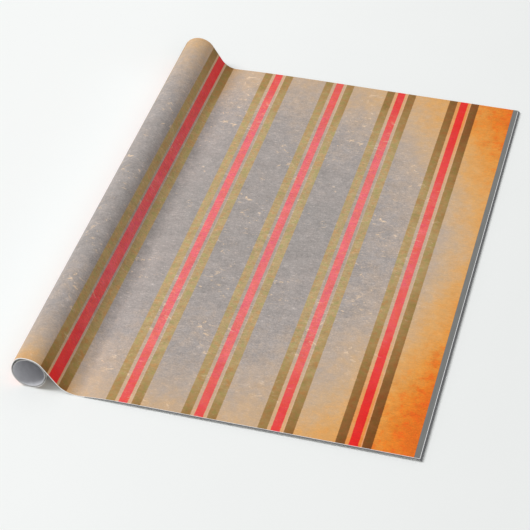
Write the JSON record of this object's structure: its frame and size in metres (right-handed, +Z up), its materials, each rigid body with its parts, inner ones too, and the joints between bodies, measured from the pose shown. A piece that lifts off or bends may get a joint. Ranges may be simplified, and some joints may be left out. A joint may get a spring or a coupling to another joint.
{
  "type": "wrapping paper roll",
  "caption": "Striped gift wrap on a hollow core: the web leaves over the top of a loose roll, falls in an S-curve and lies flat; it draws off, the core slides out and the free end curls.",
  "frame": {"origin": "on the table under the middle of the whole object's box", "axes": "+X from the roll towards the sheet's free edge, +Y along the roll from its near end to its far end, +Z up"},
  "size_m": [0.5202, 0.762, 0.047],
  "materials": {
    "printed_paper": "matte print: grey-mauve ground with worn flecks, orange edges, gold and red stripes",
    "paper_edge": "matte white paper edges",
    "bare_margin": "matte mid-grey unprinted margin",
    "core_board": "smooth light-grey paperboard",
    "core_liner": "smooth light-grey liner"
  },
  "bodies": {
    "sheet": {"flat_sheet": "printed_paper"},
    "lead": {"landing_flat": "printed_paper", "landing_bend": "printed_paper", "rising_web": "printed_paper", "shoulder_bend": "printed_paper", "loose_turn": "printed_paper"},
    "roll": {"wound_turns": "paper_edge"},
    "core": {"core_outer_ply": "core_board", "core_inner_ply": "core_liner"},
    "curl_1": {"curl_strip_1": "printed_paper"},
    "curl_2": {"curl_strip_2": "printed_paper"},
    "curl_3": {"curl_strip_3": "printed_paper"},
    "curl_4": {"curl_strip_4": "printed_paper"},
    "curl_5": {"curl_strip_5": "printed_paper"},
    "curl_6": {"curl_strip_6": "printed_paper", "free_margin": "bare_margin"}
  },
  "joints": [
    {"name": "sheet_draw", "type": "slide", "parent": "sheet", "child": "lead", "axis": [-1, 0, 0], "range_m": [-0.1924, 1.1544], "deforming": ["flat_sheet"]},
    {"name": "roll_spin", "type": "hinge", "parent": "lead", "child": "roll", "pos_m": [-0.23344, 0, 0.02295], "axis": [-0.0068, 1, 0], "range_deg": [-503, 2985]},
    {"name": "core_slide", "type": "slide", "parent": "roll", "child": "core", "axis": [0.0068, -1, 0], "range_m": [-0.6, 0.6]},
    {"name": "end_curl", "type": "hinge", "parent": "sheet", "child": "curl_1", "pos_m": [0.16862, 0, 0.0008], "axis": [0, -1, 0], "range_deg": [0, 20]},
    {"name": "end_curl_2", "type": "hinge", "parent": "curl_1", "child": "curl_2", "pos_m": [0.18262, 0, 0.0008], "axis": [0, -1, 0], "range_deg": [0, 20]},
    {"name": "end_curl_3", "type": "hinge", "parent": "curl_2", "child": "curl_3", "pos_m": [0.19662, 0, 0.0008], "axis": [0, -1, 0], "range_deg": [0, 20]},
    {"name": "end_curl_4", "type": "hinge", "parent": "curl_3", "child": "curl_4", "pos_m": [0.21062, 0, 0.0008], "axis": [0, -1, 0], "range_deg": [0, 20]},
    {"name": "end_curl_5", "type": "hinge", "parent": "curl_4", "child": "curl_5", "pos_m": [0.22462, 0, 0.0008], "axis": [0, -1, 0], "range_deg": [0, 20]},
    {"name": "end_curl_6", "type": "hinge", "parent": "curl_5", "child": "curl_6", "pos_m": [0.23862, 0, 0.0008], "axis": [0, -1, 0], "range_deg": [0, 20]}
  ],
  "couplings": [
    {"joint": "roll_spin", "follows": "sheet_draw", "rad_per_m": 45.045},
    {"joint": "end_curl_2", "follows": "end_curl", "ratio": 1},
    {"joint": "end_curl_3", "follows": "end_curl", "ratio": 1},
    {"joint": "end_curl_4", "follows": "end_curl", "ratio": 1},
    {"joint": "end_curl_5", "follows": "end_curl", "ratio": 1},
    {"joint": "end_curl_6", "follows": "end_curl", "ratio": 1}
  ]
}
